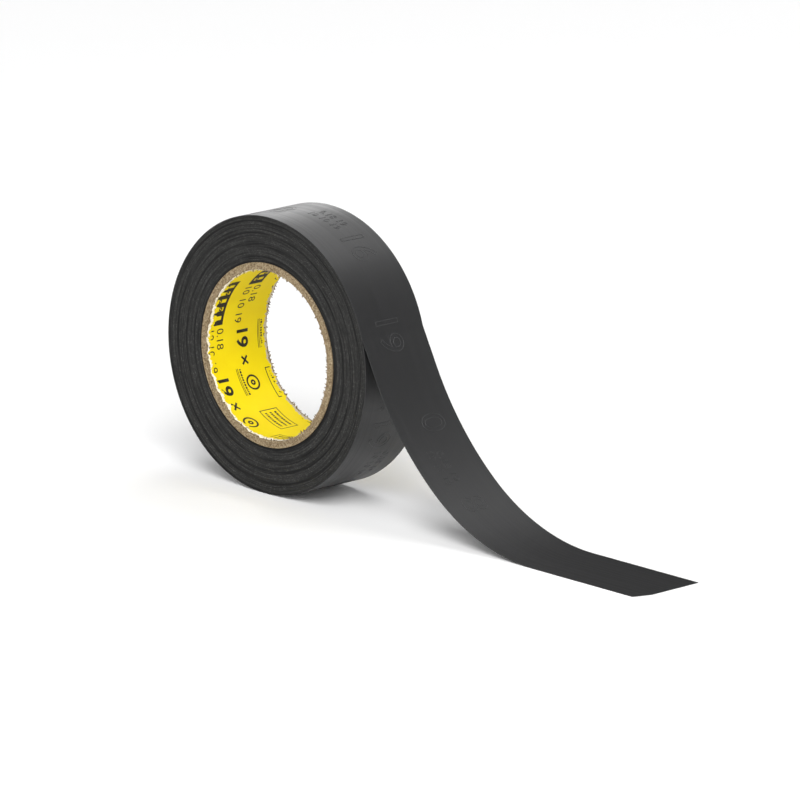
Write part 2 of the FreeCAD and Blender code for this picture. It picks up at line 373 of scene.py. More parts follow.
def tornPaperFibre():
    look = fibreLook
    material, tree, shader, place = startMaterial("tornPaperFibre", Roughness=0.9, Specular_IOR_Level=0.2)
    flecks = addNode(tree, "TexNoise", {"Vector": place, "Scale": grain(look["fleckSize"]), "Detail": 3})
    some = addNode(tree, "MapRange", {"Value": flecks.outputs[0], "From Min": 0.5, "From Max": 0.75})
    white = addNode(tree, "Mix", {0: some.outputs[0], 6: colour(look["base"]), 7: colour(look["stain"])},
                    data_type="RGBA")
    parts = addNode(tree, "SeparateXYZ", {"Vector": place})
    depths = []
    for axis, (start, end, most) in (("X", look["sideTear"]), ("Y", look["farTear"])):
        depths.append(addNode(tree, "MapRange", {"Value": parts.outputs[axis], "From Min": start,
                                                 "From Max": end, "To Max": most}).outputs[0])
    torn = addNode(tree, "Math", {0: depths[0], 1: depths[1]}, operation="MAXIMUM")
    tint = addNode(tree, "Mix", {0: torn.outputs[0], 6: white.outputs[2], 7: colour(look["board"])},
                   data_type="RGBA")
    bump = addNode(tree, "Bump", {"Height": flecks.outputs[0], "Distance": look["fibreDepth"]})
    return finishMaterial(material, tree, shader, Base_Color=tint.outputs[2], Normal=bump.outputs[0])


# Black flexographic ink on the paper: thin and dull, slightly uneven where the plate pressed less.
inkLook = {"base": "#17150f", "thin": "#57500f", "mottleSize": 0.3 * mm}


def flexoInk():
    look = inkLook
    material, tree, shader, place = startMaterial("flexographicInk", Roughness=0.6, Specular_IOR_Level=0.3)
    mottle = addNode(tree, "TexNoise", {"Vector": place, "Scale": grain(look["mottleSize"]), "Detail": 3})
    thin = addNode(tree, "MapRange", {"Value": mottle.outputs[0], "From Min": 0.55, "From Max": 0.85})
    tint = addNode(tree, "Mix", {0: thin.outputs[0], 6: colour(look["base"]), 7: colour(look["thin"])},
                   data_type="RGBA")
    return finishMaterial(material, tree, shader, Base_Color=tint.outputs[2])


vinyl = calenderedVinyl()
adhesive = rubberAdhesive()
tapeEdges = slitTapeEdges()
board = sawnPaperboard()
yellowPaper = printedYellowPaper()
tornPaper = tornPaperFibre()
ink = flexoInk()
print("materials made")


def applyThickness(piece, thickness, offset=-1):
    takeUp(piece)
    wall = piece.modifiers.new("wall", "SOLIDIFY")
    wall.thickness, wall.offset = thickness, offset
    bpy.ops.object.modifier_apply(modifier="wall")


capHeight = 0.72        # a capital's height as a share of the type size


def startText(figures, height, roundness):
    deselectAll()
    bpy.ops.object.text_add(location=(0, 0, 0))
    text = bpy.context.object
    text.data.body, text.data.size = figures, height / capHeight
    text.data.align_x, text.data.align_y = "CENTER", "CENTER"
    text.data.resolution_u = roundness
    return text


def finishText(name, place, scale):
    bpy.ops.object.convert(target="MESH")
    text = bpy.context.object
    text.location, text.scale = place, scale
    return justAdded(name)


# gives a piece its material and hides the CAD nodes that it stands for
def hand(piece, material, slotName, *nodes):
    piece.data.materials.clear()
    piece.data.materials.append(material)
    if nodes:
        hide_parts(*nodes)
    return piece


# a ring spun from its outline, whose sides have this many cuts from the core out
def turnRing(name, inner, outer, width, cuts, steps):
    deselectAll()
    bpy.ops.mesh.primitive_grid_add(x_subdivisions=cuts, y_subdivisions=1, size=1,
                                    location=((inner + outer) / 2, 0, 0))
    bpy.context.object.scale = (outer - inner, width, 1)
    ring = justAdded(name)
    openMesh(ring, "EDGE")
    selectAll()
    bpy.ops.mesh.delete(type="ONLY_FACE")
    middle, reach = (inner + outer) / 2, (outer - inner) / 2 * 0.999
    mesh = bmesh.from_edit_mesh(ring.data)
    selectOnly(ring, mesh, mesh.edges,
               lambda edge: abs(edge.verts[0].co.y - edge.verts[1].co.y) > width / 2
               and abs(edge.verts[0].co.x - middle) < reach)
    bpy.ops.mesh.delete(type="EDGE")
    selectAll()
    # a hair under the full turn, so that its two ends can still be told apart
    bpy.ops.mesh.spin(steps=steps, angle=2 * math.pi - 1e-4, center=(0, 0, 0), axis=(0, 1, 0))
    leaveEdit()
    places = readPoints(ring)
    angles = around(places + (0, 0, 1e-9))
    angles[angles > 2 * math.pi - 2e-4] = 2 * math.pi
    return ring, np.hypot(places[:, 0], places[:, 2]), angles, places[:, 1]


def placeRing(ring, radii, angles, widths, startAngle=0.0):
    turned = angles + startAngle
    writePoints(ring, np.stack([radii * np.cos(turned), widths, radii * np.sin(turned)], 1))
    openMesh(ring, "EDGE")
    selectAll()
    bpy.ops.mesh.remove_doubles(threshold=1e-6)
    selectAll()
    bpy.ops.mesh.fill_holes(sides=0)                     # the steps where the next lap begins
    closeMesh(ring, 1e-6)


# The winding: laps of tape, each edge a ridge of its own. One strip makes them all, so its
# sideways wander runs on from lap to lap and shows as slow spiral bands.
woundTape = {"lapPitch": 0.178 * mm, "steps": 216, "width": 18.84 * mm, "grooveDepth": 0.03 * mm,
             "bandHeight": 0.06 * mm, "bandsPerTurn": 1.0685, "bandPhase": -2.09, "bandSharpness": 7,
             "wanderHeight": 0.03 * mm, "wanderTurns": 2.3, "flutterHeight": 0.012 * mm,
             "flutterRate": 9, "coreLaps": 7, "coreRecess": 0.3 * mm,
             "slackAngle": 180, "slackRecess": 0.5 * mm, "slackLaps": 3,
             "ridgeRadius": 22.8 * mm, "ridgeWidth": 0.35 * mm, "ridgeHeight": 0.05 * mm,
             "openingAngle": 14.9, "diveStart": 300, "rimGap": 0.01 * mm}
# painted shade and tone of each lap, from 0 (dark) to 1 (light): a mean, darker as painted shade in a band dip or
# a recess, lighter as painted light on the ridge, with random tone from lap to lap
lapShadeAndToneWeights = {"mean": 0.58, "band": 0.52, "ridge": 0.35, "recess": 1.1, "lap": 0.3, "lapRate": 0.73,
            "lapSway": 0.4, "turn": 0.22, "turnRate": 1.7, "flutter": 0.16, "flutterRate": 14}


def makeWinding():
    values, tones = woundTape, lapShadeAndToneWeights
    laps = round((windingRadius - coreRadius) / values["lapPitch"])
    pitch = (windingRadius - coreRadius) / laps
    ring, radii, angles, widths = turnRing("woundTape", coreRadius, windingRadius, values["width"],
                                           3 * laps, values["steps"])
    third = np.rint((radii - coreRadius) / pitch * 3)
    dive = ease((np.degrees(angles) - values["diveStart"]) / (360 - values["diveStart"]))
    turns = np.where(third == 3 * laps, laps, np.maximum(third / 3 - dive, 0))
    alongLap = np.floor(third / 3 + 1e-6) - angles / (2 * math.pi)     # turns along the strip
    wave = 0.5 + 0.5 * np.cos(2 * math.pi * alongLap * values["bandsPerTurn"] + values["bandPhase"])
    dip = wave ** values["bandSharpness"]
    ridge = np.exp(-((coreRadius + turns * pitch - values["ridgeRadius"]) / values["ridgeWidth"]) ** 2)
    sideways = (-values["bandHeight"] * dip + values["ridgeHeight"] * ridge
                + values["wanderHeight"] * wander(alongLap / values["wanderTurns"], 1)
                + values["flutterHeight"] * wander(alongLap * values["flutterRate"], 2))
    turned = angles + math.radians(values["openingAngle"])
    slack = np.maximum(np.cos(turned - math.radians(values["slackAngle"])), 0) ** 3
    recess = (values["coreRecess"] * (1 - ease(turns / values["coreLaps"]))
              + values["slackRecess"] * slack * (1 - ease(turns / values["slackLaps"])))
    groove = np.where(np.mod(third, 3) == 0, values["grooveDepth"], 0)
    side = np.sign(widths)
    half = np.minimum(values["width"] / 2 + sideways - recess - groove, halfWidth - values["rimGap"])
    lapTone = wander(np.floor(third / 3 + 1e-6) * tones["lapRate"]
                     + np.cos(angles) * tones["lapSway"], 4)
    # Painted shade: the recess by the core and the slack, and each band's dip, darken the lap's colour; the proud
    # ridge is lightened as painted light.
    proud = np.clip(tones["mean"] - tones["band"] * dip + tones["ridge"] * ridge
                    - tones["recess"] * recess / mm + tones["lap"] * lapTone
                    + tones["turn"] * wander(alongLap * tones["turnRate"], 3)
                    + tones["flutter"] * wander(alongLap * tones["flutterRate"], 5), 0, 1)
    heights = ring.data.attributes.new("lapShadeAndTone", "FLOAT", "POINT")
    heights.data.foreach_set("value", proud.astype(np.float32))
    placeRing(ring, coreRadius + turns * pitch, angles, side * half,
              math.radians(values["openingAngle"]))
    smooth(ring, 50)
    return ring


winding = hand(makeWinding(), tapeEdges, "wound_tape", "winding")
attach(winding, "roll")
print("winding:", len(winding.data.polygons), "faces")


# The core: three plies of board, their sawn edges rough and softened at the corners.
corePlies = {"cuts": 3, "steps": 240, "chamfer": 0.07 * mm, "fibreHeight": 0.09 * mm,
             "fuzzHeight": 0.06 * mm, "fibreLength": 0.5 * mm, "waveLength": 2.5 * mm,
             "fuzzLength": 0.7 * mm, "fibreMix": (0.6, 0.4), "rim": 0.05, "joinAngle": 0.12}


def makePly(name, inner, outer, seed):
    values = corePlies
    ring, radii, angles, widths = turnRing(name, inner, outer, 2 * halfWidth, values["cuts"],
                                           values["steps"])
    share = (radii - inner) / (outer - inner)
    corner = np.minimum(share, 1 - share) < values["rim"]
    side = np.sign(widths)
    turn = np.mod(angles, 2 * math.pi)
    arc = turn * outer
    short, long = values["fibreMix"]
    rough = (wander(arc / values["fibreLength"] + 40 * share, seed) * short
             + wander(arc / values["waveLength"], seed + 3 * side) * long)
    fall = (values["fibreHeight"] * (0.5 + 0.5 * np.clip(rough, -1, 1))
            + np.where(corner, values["chamfer"], 0))
    join = values["joinAngle"]
    seamless = ease(turn / join) * ease((2 * math.pi - turn) / join)     # noise fades out at the join
    fuzz = (np.where(share < values["rim"], values["fuzzHeight"], 0)
            * wander(arc / values["fuzzLength"], seed + 11) * seamless)
    placeRing(ring, radii + np.abs(fuzz) * 0.5, angles, side * (halfWidth - fall * seamless))
    smooth(ring, 60)
    return ring


for ply, plyName in enumerate(("Inner", "Middle", "Outer")):
    piece = makePly("corePly" + plyName, plyRadii[ply], plyRadii[ply + 1], 20 + 5 * ply)
    hand(piece, board, "core_board", "core_ply_" + plyName.lower())
    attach(piece, "roll")
print("core plies made")


# The liner: white paper with a yellow printed face, torn rather than cut at both ends. The
# face has torn back further than the paper under it, so white shows along its edges.
liner = {"steps": 480, "rows": 12, "faceThickness": 0.03 * mm, "paperThickness": 0.11 * mm,
         "paperEdge": 0.08 * mm, "paperRag": 0.7 * mm, "paperSeed": 50, "paperFlare": 0.03 * mm,
         "faceEdge": 0.15 * mm, "faceRag": 1.5 * mm, "faceSeed": 60, "faceFlare": 0.06 * mm,
         "faceShare": 0.8, "glueGap": 0.005 * mm, "flareLength": 1.1 * mm,
         "flareShare": 0.1, "flareSeed": 77,
         "tearMean": 0.42, "tearWaves": ((7 * mm, 0.4), (1.8 * mm, 0.34), (0.45 * mm, 0.3)),
         "tearMost": 1.6}


# how far a torn end falls short of the roll's side, for angles in radians
def tearBack(angles, side, edge, rag, seed):
    arc = np.mod(angles, 2 * math.pi) * boreRadius
    share = liner["tearMean"]
    for step, (length, height) in enumerate(liner["tearWaves"]):
        share = share + height * wander(arc / length, seed + step + 3 * side)
    return edge + rag * np.clip(share, 0, liner["tearMost"])


def paperTear(angles, side):
    return tearBack(angles, side, liner["paperEdge"], liner["paperRag"], liner["paperSeed"])


def faceTear(angles, side):
    further = tearBack(angles, side, liner["faceEdge"], liner["faceRag"], liner["faceSeed"])
    return paperTear(angles, side) + further * liner["faceShare"]


def makeSleeve(name, radius, thickness, tear, flare):
    values = liner
    deselectAll()
    bpy.ops.mesh.primitive_cylinder_add(vertices=values["steps"], radius=radius, depth=2 * halfWidth,
                                        end_fill_type="NOTHING", rotation=(math.pi / 2, 0, 0))
    sleeve = justAdded(name)
    mesh = openMesh(sleeve, "EDGE")
    selectOnly(sleeve, mesh, mesh.edges,
               lambda edge: abs(edge.verts[0].co.y - edge.verts[1].co.y) > halfWidth)
    bpy.ops.mesh.subdivide(number_cuts=values["rows"] - 1)
    closeMesh(sleeve)
    places = readPoints(sleeve)
    angles = around(places)
    share = (places[:, 1] + halfWidth) / (2 * halfWidth)
    front = -halfWidth + tear(angles, -1)
    back = halfWidth - tear(angles, 1)
    places[:, 1] = front + (back - front) * share
    nearEnd = np.maximum(1 - np.minimum(share, 1 - share) / values["flareShare"], 0)
    lift = 0.5 + 0.5 * wander(angles * boreRadius / values["flareLength"], values["flareSeed"])
    lifted = radius - flare * nearEnd * lift
    places[:, 0], places[:, 2] = lifted * np.cos(angles), lifted * np.sin(angles)
    writePoints(sleeve, places)
    applyThickness(sleeve, thickness, 1)
    smooth(sleeve, 50)
    return sleeve


backing = makeSleeve("linerBacking", boreRadius + liner["faceThickness"] + liner["glueGap"],
                     liner["paperThickness"], paperTear, liner["paperFlare"])
hand(backing, tornPaper, "liner_paper", "core_liner")
face = makeSleeve("linerFace", boreRadius, liner["faceThickness"], faceTear, liner["faceFlare"])
hand(face, yellowPaper, "liner_paper", "core_liner")
for piece in (backing, face):
    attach(piece, "roll")
print("liner made")


# The printing on the liner. It is laid out flat, x along the bore and y up, and wrapped on the
# paper afterwards. Plain marks and the tape's width and thickness fill the rows.
printing = {"repeat": 60.5 * mm, "rowPitch": 8.2 * mm, "rowShift": 10.3 * mm, "rowHeight": 1.3 * mm,
            "blockEnd": 47.4 * mm, "lift": 0.012 * mm, "thickness": 0.008 * mm, "cut": 0.7 * mm,
            "edgeCuts": 6, "edgeStart": 0.25 * mm, "edgeStep": 0.3 * mm, "edgeMargin": 0.05 * mm,
            "dash": (0.25, 0.6), "dashGap": 0.18 * mm}
# One printed row: a dark block, figures, a ring and dot over rules, and a frame. Places are in
# mm along the bore from the block's end and up from the row's middle.
block = {"length": 12.8 * mm, "half": 2.1 * mm, "rail": 0.75 * mm, "bars": 6, "bar": 1.3, "pitch": 2.3,
         "firstDot": 1.8, "dots": 5, "dotShift": 0.5, "dotOuter": 0.5 * mm, "dotInner": 0.2 * mm}
figureMarks = (("0.18", 3.3, 1.45, 2.1, 0.0, 1.0), ("10 10 19", 5.6, -1.45, 2.1, 0.0, 1.0),
               ("19", 14.1, 0.1, 3.4, 0.12, 1.1), ("×", 19.5, 0.0, 3.1, 0.06, 1.1))
symbol = {"along": 24.5 * mm, "right": 0.4 * mm, "up": 0.6 * mm,
          "rings": ((1.9, 1.45, 28), (0.7, 0.25, 16)), "dashes": (-3.2, 3.4, -2.0, 0.5),
          "rules": ((-3.4, -2.75, 3.3, -2.6), (-3.4, -3.15, 3.3, -3.0))}
printedFrame = {"along": 36.3 * mm, "half": (3.9 * mm, 2.7 * mm), "line": 0.22 * mm, "lines": 3,
                "dashHalf": 2.9 * mm, "dashPitch": 1.4, "dashHeight": 0.6 * mm}


def layPlate(left, bottom, right, top):
    deselectAll()
    bpy.ops.mesh.primitive_grid_add(x_subdivisions=1, y_subdivisions=1, size=1,
                                    location=((left + right) / 2, (bottom + top) / 2, 0))
    bpy.context.object.scale = (right - left, top - bottom, 1)
    return justAdded("plate")


# takes the middle out of a flat shape and leaves its border
def hollowOut(shape, border):
    openMesh(shape, "FACE")
    selectAll()
    bpy.ops.mesh.inset(thickness=border)
    bpy.ops.mesh.delete(type="FACE")
    leaveEdit()
    return shape


def layRing(x, y, outer, inner, corners):
    deselectAll()
    bpy.ops.mesh.primitive_circle_add(vertices=corners, radius=outer, fill_type="NGON",
                                      location=(x, y, 0))
    return hollowOut(justAdded("ring"), outer - inner)


def layFigures(figures, x, y, height, bold, stretch):
    text = startText(figures, height, 4)
    text.data.offset = bold
    return finishText("figures", (x, y, 0), (stretch, 1, 1))


def layDashes(left, right, y, height, seed):
    dice = random.Random(seed)
    plates, x = [], left
    while x < right:
        length = dice.uniform(*printing["dash"]) * mm
        plates.append(layPlate(x, y - height / 2, min(x + length, right), y + height / 2))
        x += length + printing["dashGap"]
    return plates


def layBlock(end, middle):
    start, low, high = end - block["length"], middle - block["half"], middle + block["half"]
    rail = block["rail"]
    marks = [layPlate(start, low, end, low + rail), layPlate(start, high - rail, end, high)]
    for bar in range(block["bars"]):
        left = start + block["pitch"] * bar * mm
        marks.append(layPlate(left, low + rail, left + block["bar"] * mm, high - rail))
    for dot in range(block["dots"]):
        shift = (block["dotShift"] if dot % 2 else -block["dotShift"]) * mm
        marks.append(layRing(start + (block["firstDot"] + block["pitch"] * dot) * mm, middle + shift,
                             block["dotOuter"], block["dotInner"], 14))
    return marks


def layRow(end, middle):
    marks = layBlock(end, middle)
    for figures, x, y, height, bold, stretch in figureMarks:
        marks.append(layFigures(figures, end + x * mm, middle + y * mm, height * mm, bold * mm,
                                stretch))
    x = end + symbol["along"]
    for outer, inner, corners in symbol["rings"]:
        marks.append(layRing(x + symbol["right"], middle + symbol["up"], outer * mm, inner * mm,
                             corners))
    left, right, y, height = symbol["dashes"]
    marks.extend(layDashes(x + left * mm, x + right * mm, middle + y * mm, height * mm, 1))
    for left, low, right, high in symbol["rules"]:
        marks.append(layPlate(x + left * mm, middle + low * mm, x + right * mm, middle + high * mm))
    x, (across, up) = end + printedFrame["along"], printedFrame["half"]
    edge = layPlate(x - across, middle - up, x + across, middle + up)
    marks.append(hollowOut(edge, printedFrame["line"]))
    pitch, reach = printedFrame["dashPitch"], printedFrame["dashHalf"]
    for line in range(printedFrame["lines"]):
        marks.extend(layDashes(x - reach, x + reach, middle + (pitch - pitch * line) * mm,
                               printedFrame["dashHeight"], 2 + line))
    return marks


def makePrinting():
    values = printing
    marks = []
    for row in range(3):
        marks += layRow(values["blockEnd"] + (row - 1) * values["rowShift"],
                        values["rowHeight"] + (1 - row) * values["rowPitch"])
    sheetOne = joinAs("linerPrinting", marks)
    sheetTwo = copyOf(sheetOne)
    sheetTwo.data.transform(Matrix.Translation((values["repeat"], 0, 0)))
    sheet = joinAs("linerPrinting", [sheetOne, sheetTwo])
    places = readPoints(sheet)
    openMesh(sheet, "FACE")
    low, high = places[:, 0].min(), places[:, 0].max()
    for x in np.arange(low + values["cut"], high, values["cut"]):
        selectAll()
        bpy.ops.mesh.bisect(plane_co=(x, 0, 0), plane_no=(1, 0, 0), threshold=1e-7)
    for side in (-1, 1):
        for step in range(values["edgeCuts"]):
            inset = values["edgeStart"] + values["edgeStep"] * step
            selectAll()
            bpy.ops.mesh.bisect(plane_co=(0, side * (halfWidth - inset), 0), plane_no=(0, 1, 0),
                                threshold=1e-7)
    mesh = bmesh.from_edit_mesh(sheet.data)

    def tornOff(item):
        middle = item.calc_center_median()
        angle = np.array([middle.x / boreRadius])
        side = -1 if middle.y < 0 else 1
        return halfWidth - abs(middle.y) < float(faceTear(angle, side)[0]) + values["edgeMargin"]

    selectOnly(sheet, mesh, mesh.faces, tornOff)
    bpy.ops.mesh.delete(type="FACE")
    leaveEdit()
    applyThickness(sheet, values["thickness"], 0)
    places = readPoints(sheet)
    angles = places[:, 0] / boreRadius
    radii = boreRadius - values["lift"] - places[:, 2]
    writePoints(sheet, np.stack([radii * np.cos(angles), places[:, 1], radii * np.sin(angles)], 1))
    openMesh(sheet)
    closeMesh(sheet)
    return sheet


printed = hand(makePrinting(), ink, "liner_paper", "core_liner")
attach(printed, "roll")
print("printing:", len(printed.data.polygons), "faces")


# Shreds of torn paper and board along both rims of the bore.
shreds = {"length": 0.9 * mm, "width": 0.5 * mm, "thickness": 0.04 * mm, "curl": 0.22 * mm,
          "twist": 0.03 * mm, "taper": 0.75, "frontCount": 200, "backCount": 100, "inkedCount": 24,
          "fuzzCount": 150, "intoPaper": (0.02, 0.16), "lean": 1.3, "size": (0.5, 1.15),
          "flatness": (0.1, 1.4)}


def makeShred():
    values = shreds
    deselectAll()
    bpy.ops.mesh.primitive_grid_add(x_subdivisions=3, y_subdivisions=2, size=1)
    bpy.context.object.scale = (values["length"], values["width"], 1)
    shred = justAdded("shred")
    places = readPoints(shred)
    along = np.clip(places[:, 0] / values["length"] + 0.5, 0, 1)
    twist = values["twist"] * np.sin(places[:, 1] / values["width"] * 5)
    places[:, 2] = values["curl"] * along ** 2 + twist
    places[:, 1] *= 1 - values["taper"] * along ** 1.5
    writePoints(shred, places)
    applyThickness(shred, values["thickness"])
    return shred


# copies of the shred round one rim; each starts on the torn edge and points out along the bore
def scatterShreds(name, pattern, side, count, seed, inwards=0.5, onPaper=1, back=(0.3, 0.7)):
    values = shreds
    dice = random.Random(seed)
    copies = []
    for _ in range(count):
        angle = dice.uniform(0, 2 * math.pi)
        copy = copyOf(pattern)
        radius = boreRadius + dice.uniform(*values["intoPaper"]) * mm
        outwards = Vector((0, side, 0))
        roundWay = Vector((-math.sin(angle), 0, math.cos(angle)))
        towardsAxis = Vector((-math.cos(angle), 0, -math.sin(angle)))
        lean = dice.uniform(-values["lean"], values["lean"])
        along = (outwards * math.cos(lean) + roundWay * math.sin(lean)
                 + towardsAxis * dice.uniform(0, inwards)).normalized()
        across = towardsAxis.cross(along).normalized()
        up = along.cross(across).normalized()
        size = dice.uniform(*values["size"])
        sizes = Matrix.Diagonal((size, size, size * dice.uniform(*values["flatness"]), 1))
        turn = Matrix((along, across, up)).transposed().to_4x4() @ sizes
        torn = paperTear(np.array([angle]), side)[0]
        reach = halfWidth - torn * onPaper - dice.uniform(*back) * mm
        spot = Vector((radius * math.cos(angle), side * reach, radius * math.sin(angle)))
        copy.data.transform(Matrix.Translation(spot) @ turn)
        copies.append(copy)
    shredded = joinAs(name, copies)
    openMesh(shredded)
    closeMesh(shredded)
    places = readPoints(shredded)
    places[:, 1] = np.clip(places[:, 1], -halfWidth, halfWidth)
    writePoints(shredded, places)
    smooth(shredded, 50)
    return shredded


shredPattern = makeShred()
for name, side, count, seed, finish in (("tornShredsFront", -1, shreds["frontCount"], 5, tornPaper),
                                        ("tornShredsBack", 1, shreds["backCount"], 6, tornPaper),
                                        ("inkedShredsFront", -1, shreds["inkedCount"], 7, ink),
                                        ("inkedShredsBack", 1, shreds["inkedCount"], 8, ink)):
    piece = scatterShreds(name, shredPattern, side, count, seed)
    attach(hand(piece, finish, "liner_paper", "core_liner"), "roll")
for name, side, seed in (("boardFuzzFront", -1, 9), ("boardFuzzBack", 1, 10)):
    piece = scatterShreds(name, shredPattern, side, shreds["fuzzCount"], seed, inwards=2.5, onPaper=0,
                          back=(0.05, 0.35))
    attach(hand(piece, board, "core_board", "core_ply_inner"), "roll")
bpy.data.objects.remove(shredPattern)
print("torn shreds made")


# The way that the tape's outer surface takes: round the roll, off it at the peel line, down a
# slack bend, and out along the ground. Distances run from the peel line, backwards on the roll.
tapeRoute = {"peelSlope": math.radians(61.4), "middleSlope": math.radians(37.8),
             "peelStraight": 9.6 * mm, "foldLength": 1.2 * mm}


def makeRoute():
    steep, middling = tapeRoute["peelSlope"], tapeRoute["middleSlope"]
    x, z = rollRadius * math.cos(peelAngle), rollRadius * math.sin(peelAngle)
    runs = [(0.0, x, z, -steep, None)]
    distance = tapeRoute["peelStraight"]
    x, z = x + distance * math.cos(steep), z - distance * math.sin(steep)
    joint = jointPlace["tail_flex_upper"]
    bendEnd = (joint.x + math.sin(middling) * tapeThickness / 2,
               joint.z + math.cos(middling) * tapeThickness / 2)
    radius = (bendEnd[0] - x) / (math.sin(steep) - math.sin(middling))
    runs.append((distance, x, z, -steep, radius))
    distance += radius * (steep - middling)
    x, z = bendEnd
    radius = (z - groundZ - tapeThickness) / (1 - math.cos(middling))
    runs.append((distance, x, z, -middling, radius))
    distance += radius * middling
    x = jointPlace["tail_flex_lower"].x
    runs.append((distance, x, groundZ + tapeThickness, 0.0, None))
    return runs


# each run: where it starts along the route, its place, its heading and its radius if it bends
routeRuns = makeRoute()
upperFlex, lowerFlex = routeRuns[2][0], routeRuns[3][0]
tapeEnd = lowerFlex + cadBox[1][0] - routeRuns[3][1]


# places and outward directions on the route, for distances along it
def onRoute(distances):
    distances = np.asarray(distances, dtype=float)
    angles = peelAngle - distances / rollRadius
    x, z, heading = rollRadius * np.cos(angles), rollRadius * np.sin(angles), angles - math.pi / 2
    for start, runX, runZ, runHeading, radius in routeRuns:
        here = distances >= start
        part = distances - start
        if radius is None:
            runTurn = np.full_like(part, runHeading)
            newX, newZ = runX + part * math.cos(runHeading), runZ + part * math.sin(runHeading)
        else:
            runTurn = runHeading + part / radius
            newX = runX + radius * (np.sin(runTurn) - math.sin(runHeading))
            newZ = runZ - radius * (np.cos(runTurn) - math.cos(runHeading))
        x, z = np.where(here, newX, x), np.where(here, newZ, z)
        heading = np.where(here, runTurn, heading)
    return x, z, heading


def wrapOnRoute(piece):
    places = readPoints(piece)
    x, z, heading = onRoute(places[:, 0])
    fold = tapeRoute["foldLength"]
    nearPeel = np.clip((places[:, 0] + fold / 2) / fold, 0, 1)    # eases the fold's sharp turn
    rolled = peelAngle - math.pi / 2 - np.minimum(places[:, 0], 0) / rollRadius
    heading = np.where((nearPeel > 0) & (nearPeel < 1),
                       rolled + (-tapeRoute["peelSlope"] - rolled) * ease(nearPeel), heading)
    writePoints(piece, np.stack([x - np.sin(heading) * places[:, 2], places[:, 1],
                                 z + np.cos(heading) * places[:, 2]], 1))


# The tape: film and adhesive in four stretches, each laid flat, embossed, and wrapped on its way.
tape = {"step": 0.8 * mm, "across": 24, "skin": 0.05 * mm, "rippleHeight": 0.012 * mm,
        "rippleLengths": (9 * mm, 5 * mm, 17 * mm), "cornerLength": 1.6 * mm, "cornerWidth": 4.4 * mm,
        "lapOpening": 374.7, "seamAngle": 10.0, "peelJoin": 8.6 * mm, "flexReach": 6 * mm,
        "groundReach": (2 * mm, 8 * mm), "middleJoin": 0.5, "sagLength": 8 * mm, "sagDepth": 0.035 * mm}
# The outlines pressed into the film: wide figures one after another along the tape, and two
# short lines of small ones between them. The loose end is stretched smooth.
embossing = {"pitch": 22 * mm, "flatness": 0.6, "last": 62 * mm, "most": 200,
             "rows": ({"figures": ("19", "0", "8", "16"), "height": 7.0 * mm, "line": 0.13 * mm,
                       "proud": 0.038 * mm, "before": 3.5 * mm, "after": 4.9 * mm,
                       "across": 1.5 * mm, "shift": 0.0, "roundness": 5},
                      {"figures": ("0.18 19\n10 10 19",), "height": 2.0 * mm, "line": 0.08 * mm,
                       "proud": 0.026 * mm, "before": 6.6 * mm, "after": 6.6 * mm,
                       "across": -2.4 * mm, "shift": 0.5, "roundness": 2})}


def layStrip(name, start, end, near, far, clipped):
    length = end - start
    deselectAll()
    bpy.ops.mesh.primitive_grid_add(x_subdivisions=max(2, round(length / tape["step"])),
                                    y_subdivisions=tape["across"], size=1,
                                    location=((start + end) / 2, 0, -far))
    bpy.context.object.scale = (length, 2 * halfWidth, 1)
    strip = justAdded(name)
    openMesh(strip, "FACE")
    selectAll()
    bpy.ops.mesh.extrude_region_move(TRANSFORM_OT_translate={"value": (0, 0, far - near)})
    if clipped:
        selectAll()
        bpy.ops.mesh.bisect(plane_co=(end, -halfWidth + tape["cornerWidth"], 0),
                            plane_no=(tape["cornerWidth"], -tape["cornerLength"], 0),
                            use_fill=True, clear_outer=True, threshold=1e-7)
    closeMesh(strip)
    places = readPoints(strip)
    skin = places[:, 2] > -(near + far) / 2
    swell, across, slant = tape["rippleLengths"]
    ripple = tape["rippleHeight"] * (wander(places[:, 0] / swell, 31)
                                     * np.cos(places[:, 1] / across + places[:, 0] / slant))
    if near == 0:
        places[:, 2] += np.where(skin, ripple - tape["skin"], 0)
    onRoll = np.clip((places[:, 0] - lapStart) / tape["sagLength"], 0, 1)
    places[:, 2] -= tape["sagDepth"] * (1 - ease(onRoll))
    writePoints(strip, places)
    return strip


def layEmbossing(start, end):
    lines = []
    pitch, flatness = embossing["pitch"], embossing["flatness"]
    for row in embossing["rows"]:
        shift, figures = row["shift"], row["figures"]
        for place in range(math.ceil((start + row["before"]) / pitch - shift), embossing["most"]):
            x = (place + shift) * pitch
            if x + row["after"] > min(end, embossing["last"]):
                break
            text = startText(figures[place % len(figures)], row["height"], row["roundness"])
            text.data.fill_mode, text.data.bevel_depth = "NONE", row["line"]
            text.data.bevel_resolution = 0
            line = finishText("embossing", (x, row["across"] if place % 2 else -row["across"], 0),
                              (1, 1, flatness))
            places = readPoints(line)
            places[:, 2] += row["proud"] - tape["skin"] - row["line"] * flatness
            writePoints(line, places)
            lines.append(line)
    return lines


def makeStretch(name, start, end, nodes, clipped=False):
    pieces = []
    for layer, near, far in (("Film", 0, filmThickness), ("Adhesive", filmThickness, tapeThickness)):
        strip = layStrip(name + layer, start, end, near, far, clipped)
        if layer == "Film":
            strip = joinAs(name + layer, [strip] + layEmbossing(start, end))
        wrapOnRoute(strip)
        openMesh(strip)
        closeMesh(strip)
        smooth(strip, 40)
        hand(strip, vinyl if layer == "Film" else adhesive,
             "vinyl_film" if layer == "Film" else "tape_adhesive",
             *[node + "_" + layer.lower() for node in nodes])
        pieces.append(strip)
    return pieces


